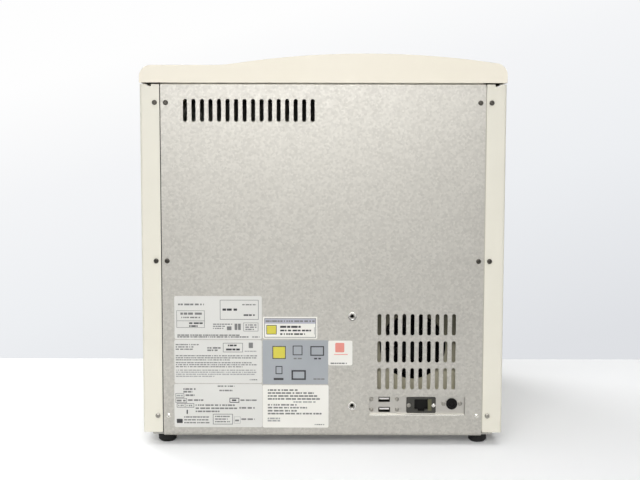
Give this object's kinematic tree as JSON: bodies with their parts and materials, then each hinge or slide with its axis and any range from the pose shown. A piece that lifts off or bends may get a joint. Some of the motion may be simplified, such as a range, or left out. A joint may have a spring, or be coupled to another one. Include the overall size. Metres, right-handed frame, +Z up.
{
  "type": "cell counter",
  "caption": "Benchtop cell viability counter: moulded cover with an offset crown, zinc-coated rear panel, sample carousel, probe, reagent bay, waste drawer and leaning touch display.",
  "frame": {"origin": "centre of the footprint, on the table under the feet", "axes": "+Z up, +X to the right seen from the front, front with doors and display faces -Y, rear panel faces +Y"},
  "size_m": [0.42, 0.45, 0.455],
  "materials": {
    "cover_plastic": "cream moulded housing",
    "cream_paint": "cream powder coat on steel sheet",
    "galvanised_steel": "bare zinc-coated sheet with spangle",
    "bright_steel": "nickel-plated sheet",
    "zinc_screw": "zinc-plated fastener",
    "grey_plate": "grey coated sheet",
    "foot_rubber": "black rubber",
    "black_plastic": "black moulded plastic",
    "white_plastic": "white moulded plastic",
    "board": "printed circuit board",
    "aluminium": "clear anodised aluminium",
    "black_aluminium": "black anodised aluminium",
    "stainless": "ground stainless steel",
    "belt_rubber": "toothed drive belt",
    "clear_glass": "clear glass",
    "smoked_window": "smoked acrylic window",
    "display_glass": "black display cover glass",
    "grey_plastic": "grey moulded plastic",
    "pack_plastic": "reagent pack housing"
  },
  "bodies": {
    "chassis": {"base_pan": "galvanised_steel", "rubber_feet": "foot_rubber", "rear_panel": "galvanised_steel", "side_cover_left": "cream_paint", "side_cover_right": "cream_paint", "top_cover": "cover_plastic", "front_fascia": "cover_plastic", "frame_posts": "galvanised_steel", "bulkhead": "galvanised_steel", "bay_divider": "galvanised_steel", "cover_screws": "zinc_screw", "bracket_screws": "zinc_screw", "io_plate": "bright_steel", "usb_sockets": "bright_steel", "usb_tongues": "white_plastic", "network_socket": "black_plastic", "power_socket": "black_plastic", "io_screws": "zinc_screw", "fan_plate": "grey_plate", "fan_housing": "black_plastic", "electronics_bracket": "galvanised_steel", "main_board": "board", "stage_deck": "aluminium", "spindle_bearings": "stainless", "drive_belt": "belt_rubber", "carousel_motor": "black_aluminium", "probe_frame": "aluminium", "probe_guide_rods": "stainless", "probe_motor": "black_aluminium", "wash_block": "white_plastic", "syringe_pump": "grey_plastic", "syringe_barrel": "clear_glass", "selector_valve": "white_plastic", "optics_bench": "black_aluminium", "flow_cell": "clear_glass", "light_source": "black_aluminium", "reagent_pack": "pack_plastic", "reagent_drive": "aluminium", "hinge_pins": "stainless", "display_housing": "black_plastic", "display_glass": "display_glass", "button_ring": "aluminium"},
    "sample_door": {"sample_door": "cover_plastic", "door_window": "smoked_window"},
    "reagent_door": {"reagent_door": "cover_plastic"},
    "carousel": {"carousel_spindle": "stainless", "carousel_disc": "black_aluminium", "cup_holders": "grey_plastic", "carousel_pulley": "aluminium"},
    "motor_rotor": {"motor_pulley": "aluminium", "motor_shaft": "stainless"},
    "probe_carriage": {"probe_carriage": "black_aluminium", "sample_probe": "stainless"},
    "probe_screw": {"probe_screw": "stainless"},
    "fan_rotor": {"fan_rotor": "black_plastic"},
    "syringe_plunger": {"syringe_plunger": "stainless"},
    "reagent_probes": {"reagent_probes": "stainless"},
    "waste_drawer": {"waste_drawer": "cover_plastic"},
    "power_button": {"power_button": "grey_plastic"},
    "focus_camera": {"focus_camera": "black_aluminium"}
  },
  "joints": [
    {"name": "sample_door_hinge", "type": "hinge", "parent": "chassis", "child": "sample_door", "pos_m": [-0.196, -0.221, 0.155], "axis": [0, 0, -1], "range_deg": [0, 95]},
    {"name": "reagent_door_hinge", "type": "hinge", "parent": "chassis", "child": "reagent_door", "pos_m": [0.196, -0.221, 0.155], "axis": [0, 0, 1], "range_deg": [0, 95]},
    {"name": "carousel_spin", "type": "hinge", "parent": "chassis", "child": "carousel", "pos_m": [-0.066, -0.062, 0.1], "axis": [0, 0, 1], "continuous": true},
    {"name": "motor_spin", "type": "hinge", "parent": "chassis", "child": "motor_rotor", "pos_m": [0.038, 0.01, 0.07], "axis": [0, 0, 1], "continuous": true},
    {"name": "probe_slide", "type": "slide", "parent": "chassis", "child": "probe_carriage", "axis": [0, 0, -1], "range_m": [0, 0.052]},
    {"name": "probe_screw_spin", "type": "hinge", "parent": "chassis", "child": "probe_screw", "pos_m": [-0.066, 0.03, 0.275], "axis": [0, 0, 1], "continuous": true},
    {"name": "fan_spin", "type": "hinge", "parent": "chassis", "child": "fan_rotor", "pos_m": [-0.1056, 0.2004, 0.1162], "axis": [0, 1, 0], "continuous": true},
    {"name": "syringe_stroke", "type": "slide", "parent": "chassis", "child": "syringe_plunger", "axis": [0, 0, -1], "range_m": [0, 0.045]},
    {"name": "reagent_probe_slide", "type": "slide", "parent": "chassis", "child": "reagent_probes", "axis": [0, 0, -1], "range_m": [0, 0.028]},
    {"name": "waste_drawer_slide", "type": "slide", "parent": "chassis", "child": "waste_drawer", "axis": [0, -1, 0], "range_m": [0, 0.15]},
    {"name": "power_button_press", "type": "slide", "parent": "chassis", "child": "power_button", "axis": [0, 0.9744, -0.225], "range_m": [0, 0.002], "stiffness_N_per_m": 600},
    {"name": "focus_slide", "type": "slide", "parent": "chassis", "child": "focus_camera", "axis": [1, 0, 0], "range_m": [-0.0015, 0.0015]}
  ],
  "couplings": [
    {"joint": "motor_spin", "follows": "carousel_spin", "ratio": 3},
    {"joint": "probe_screw_spin", "follows": "probe_slide", "rad_per_m": 628.32}
  ]
}
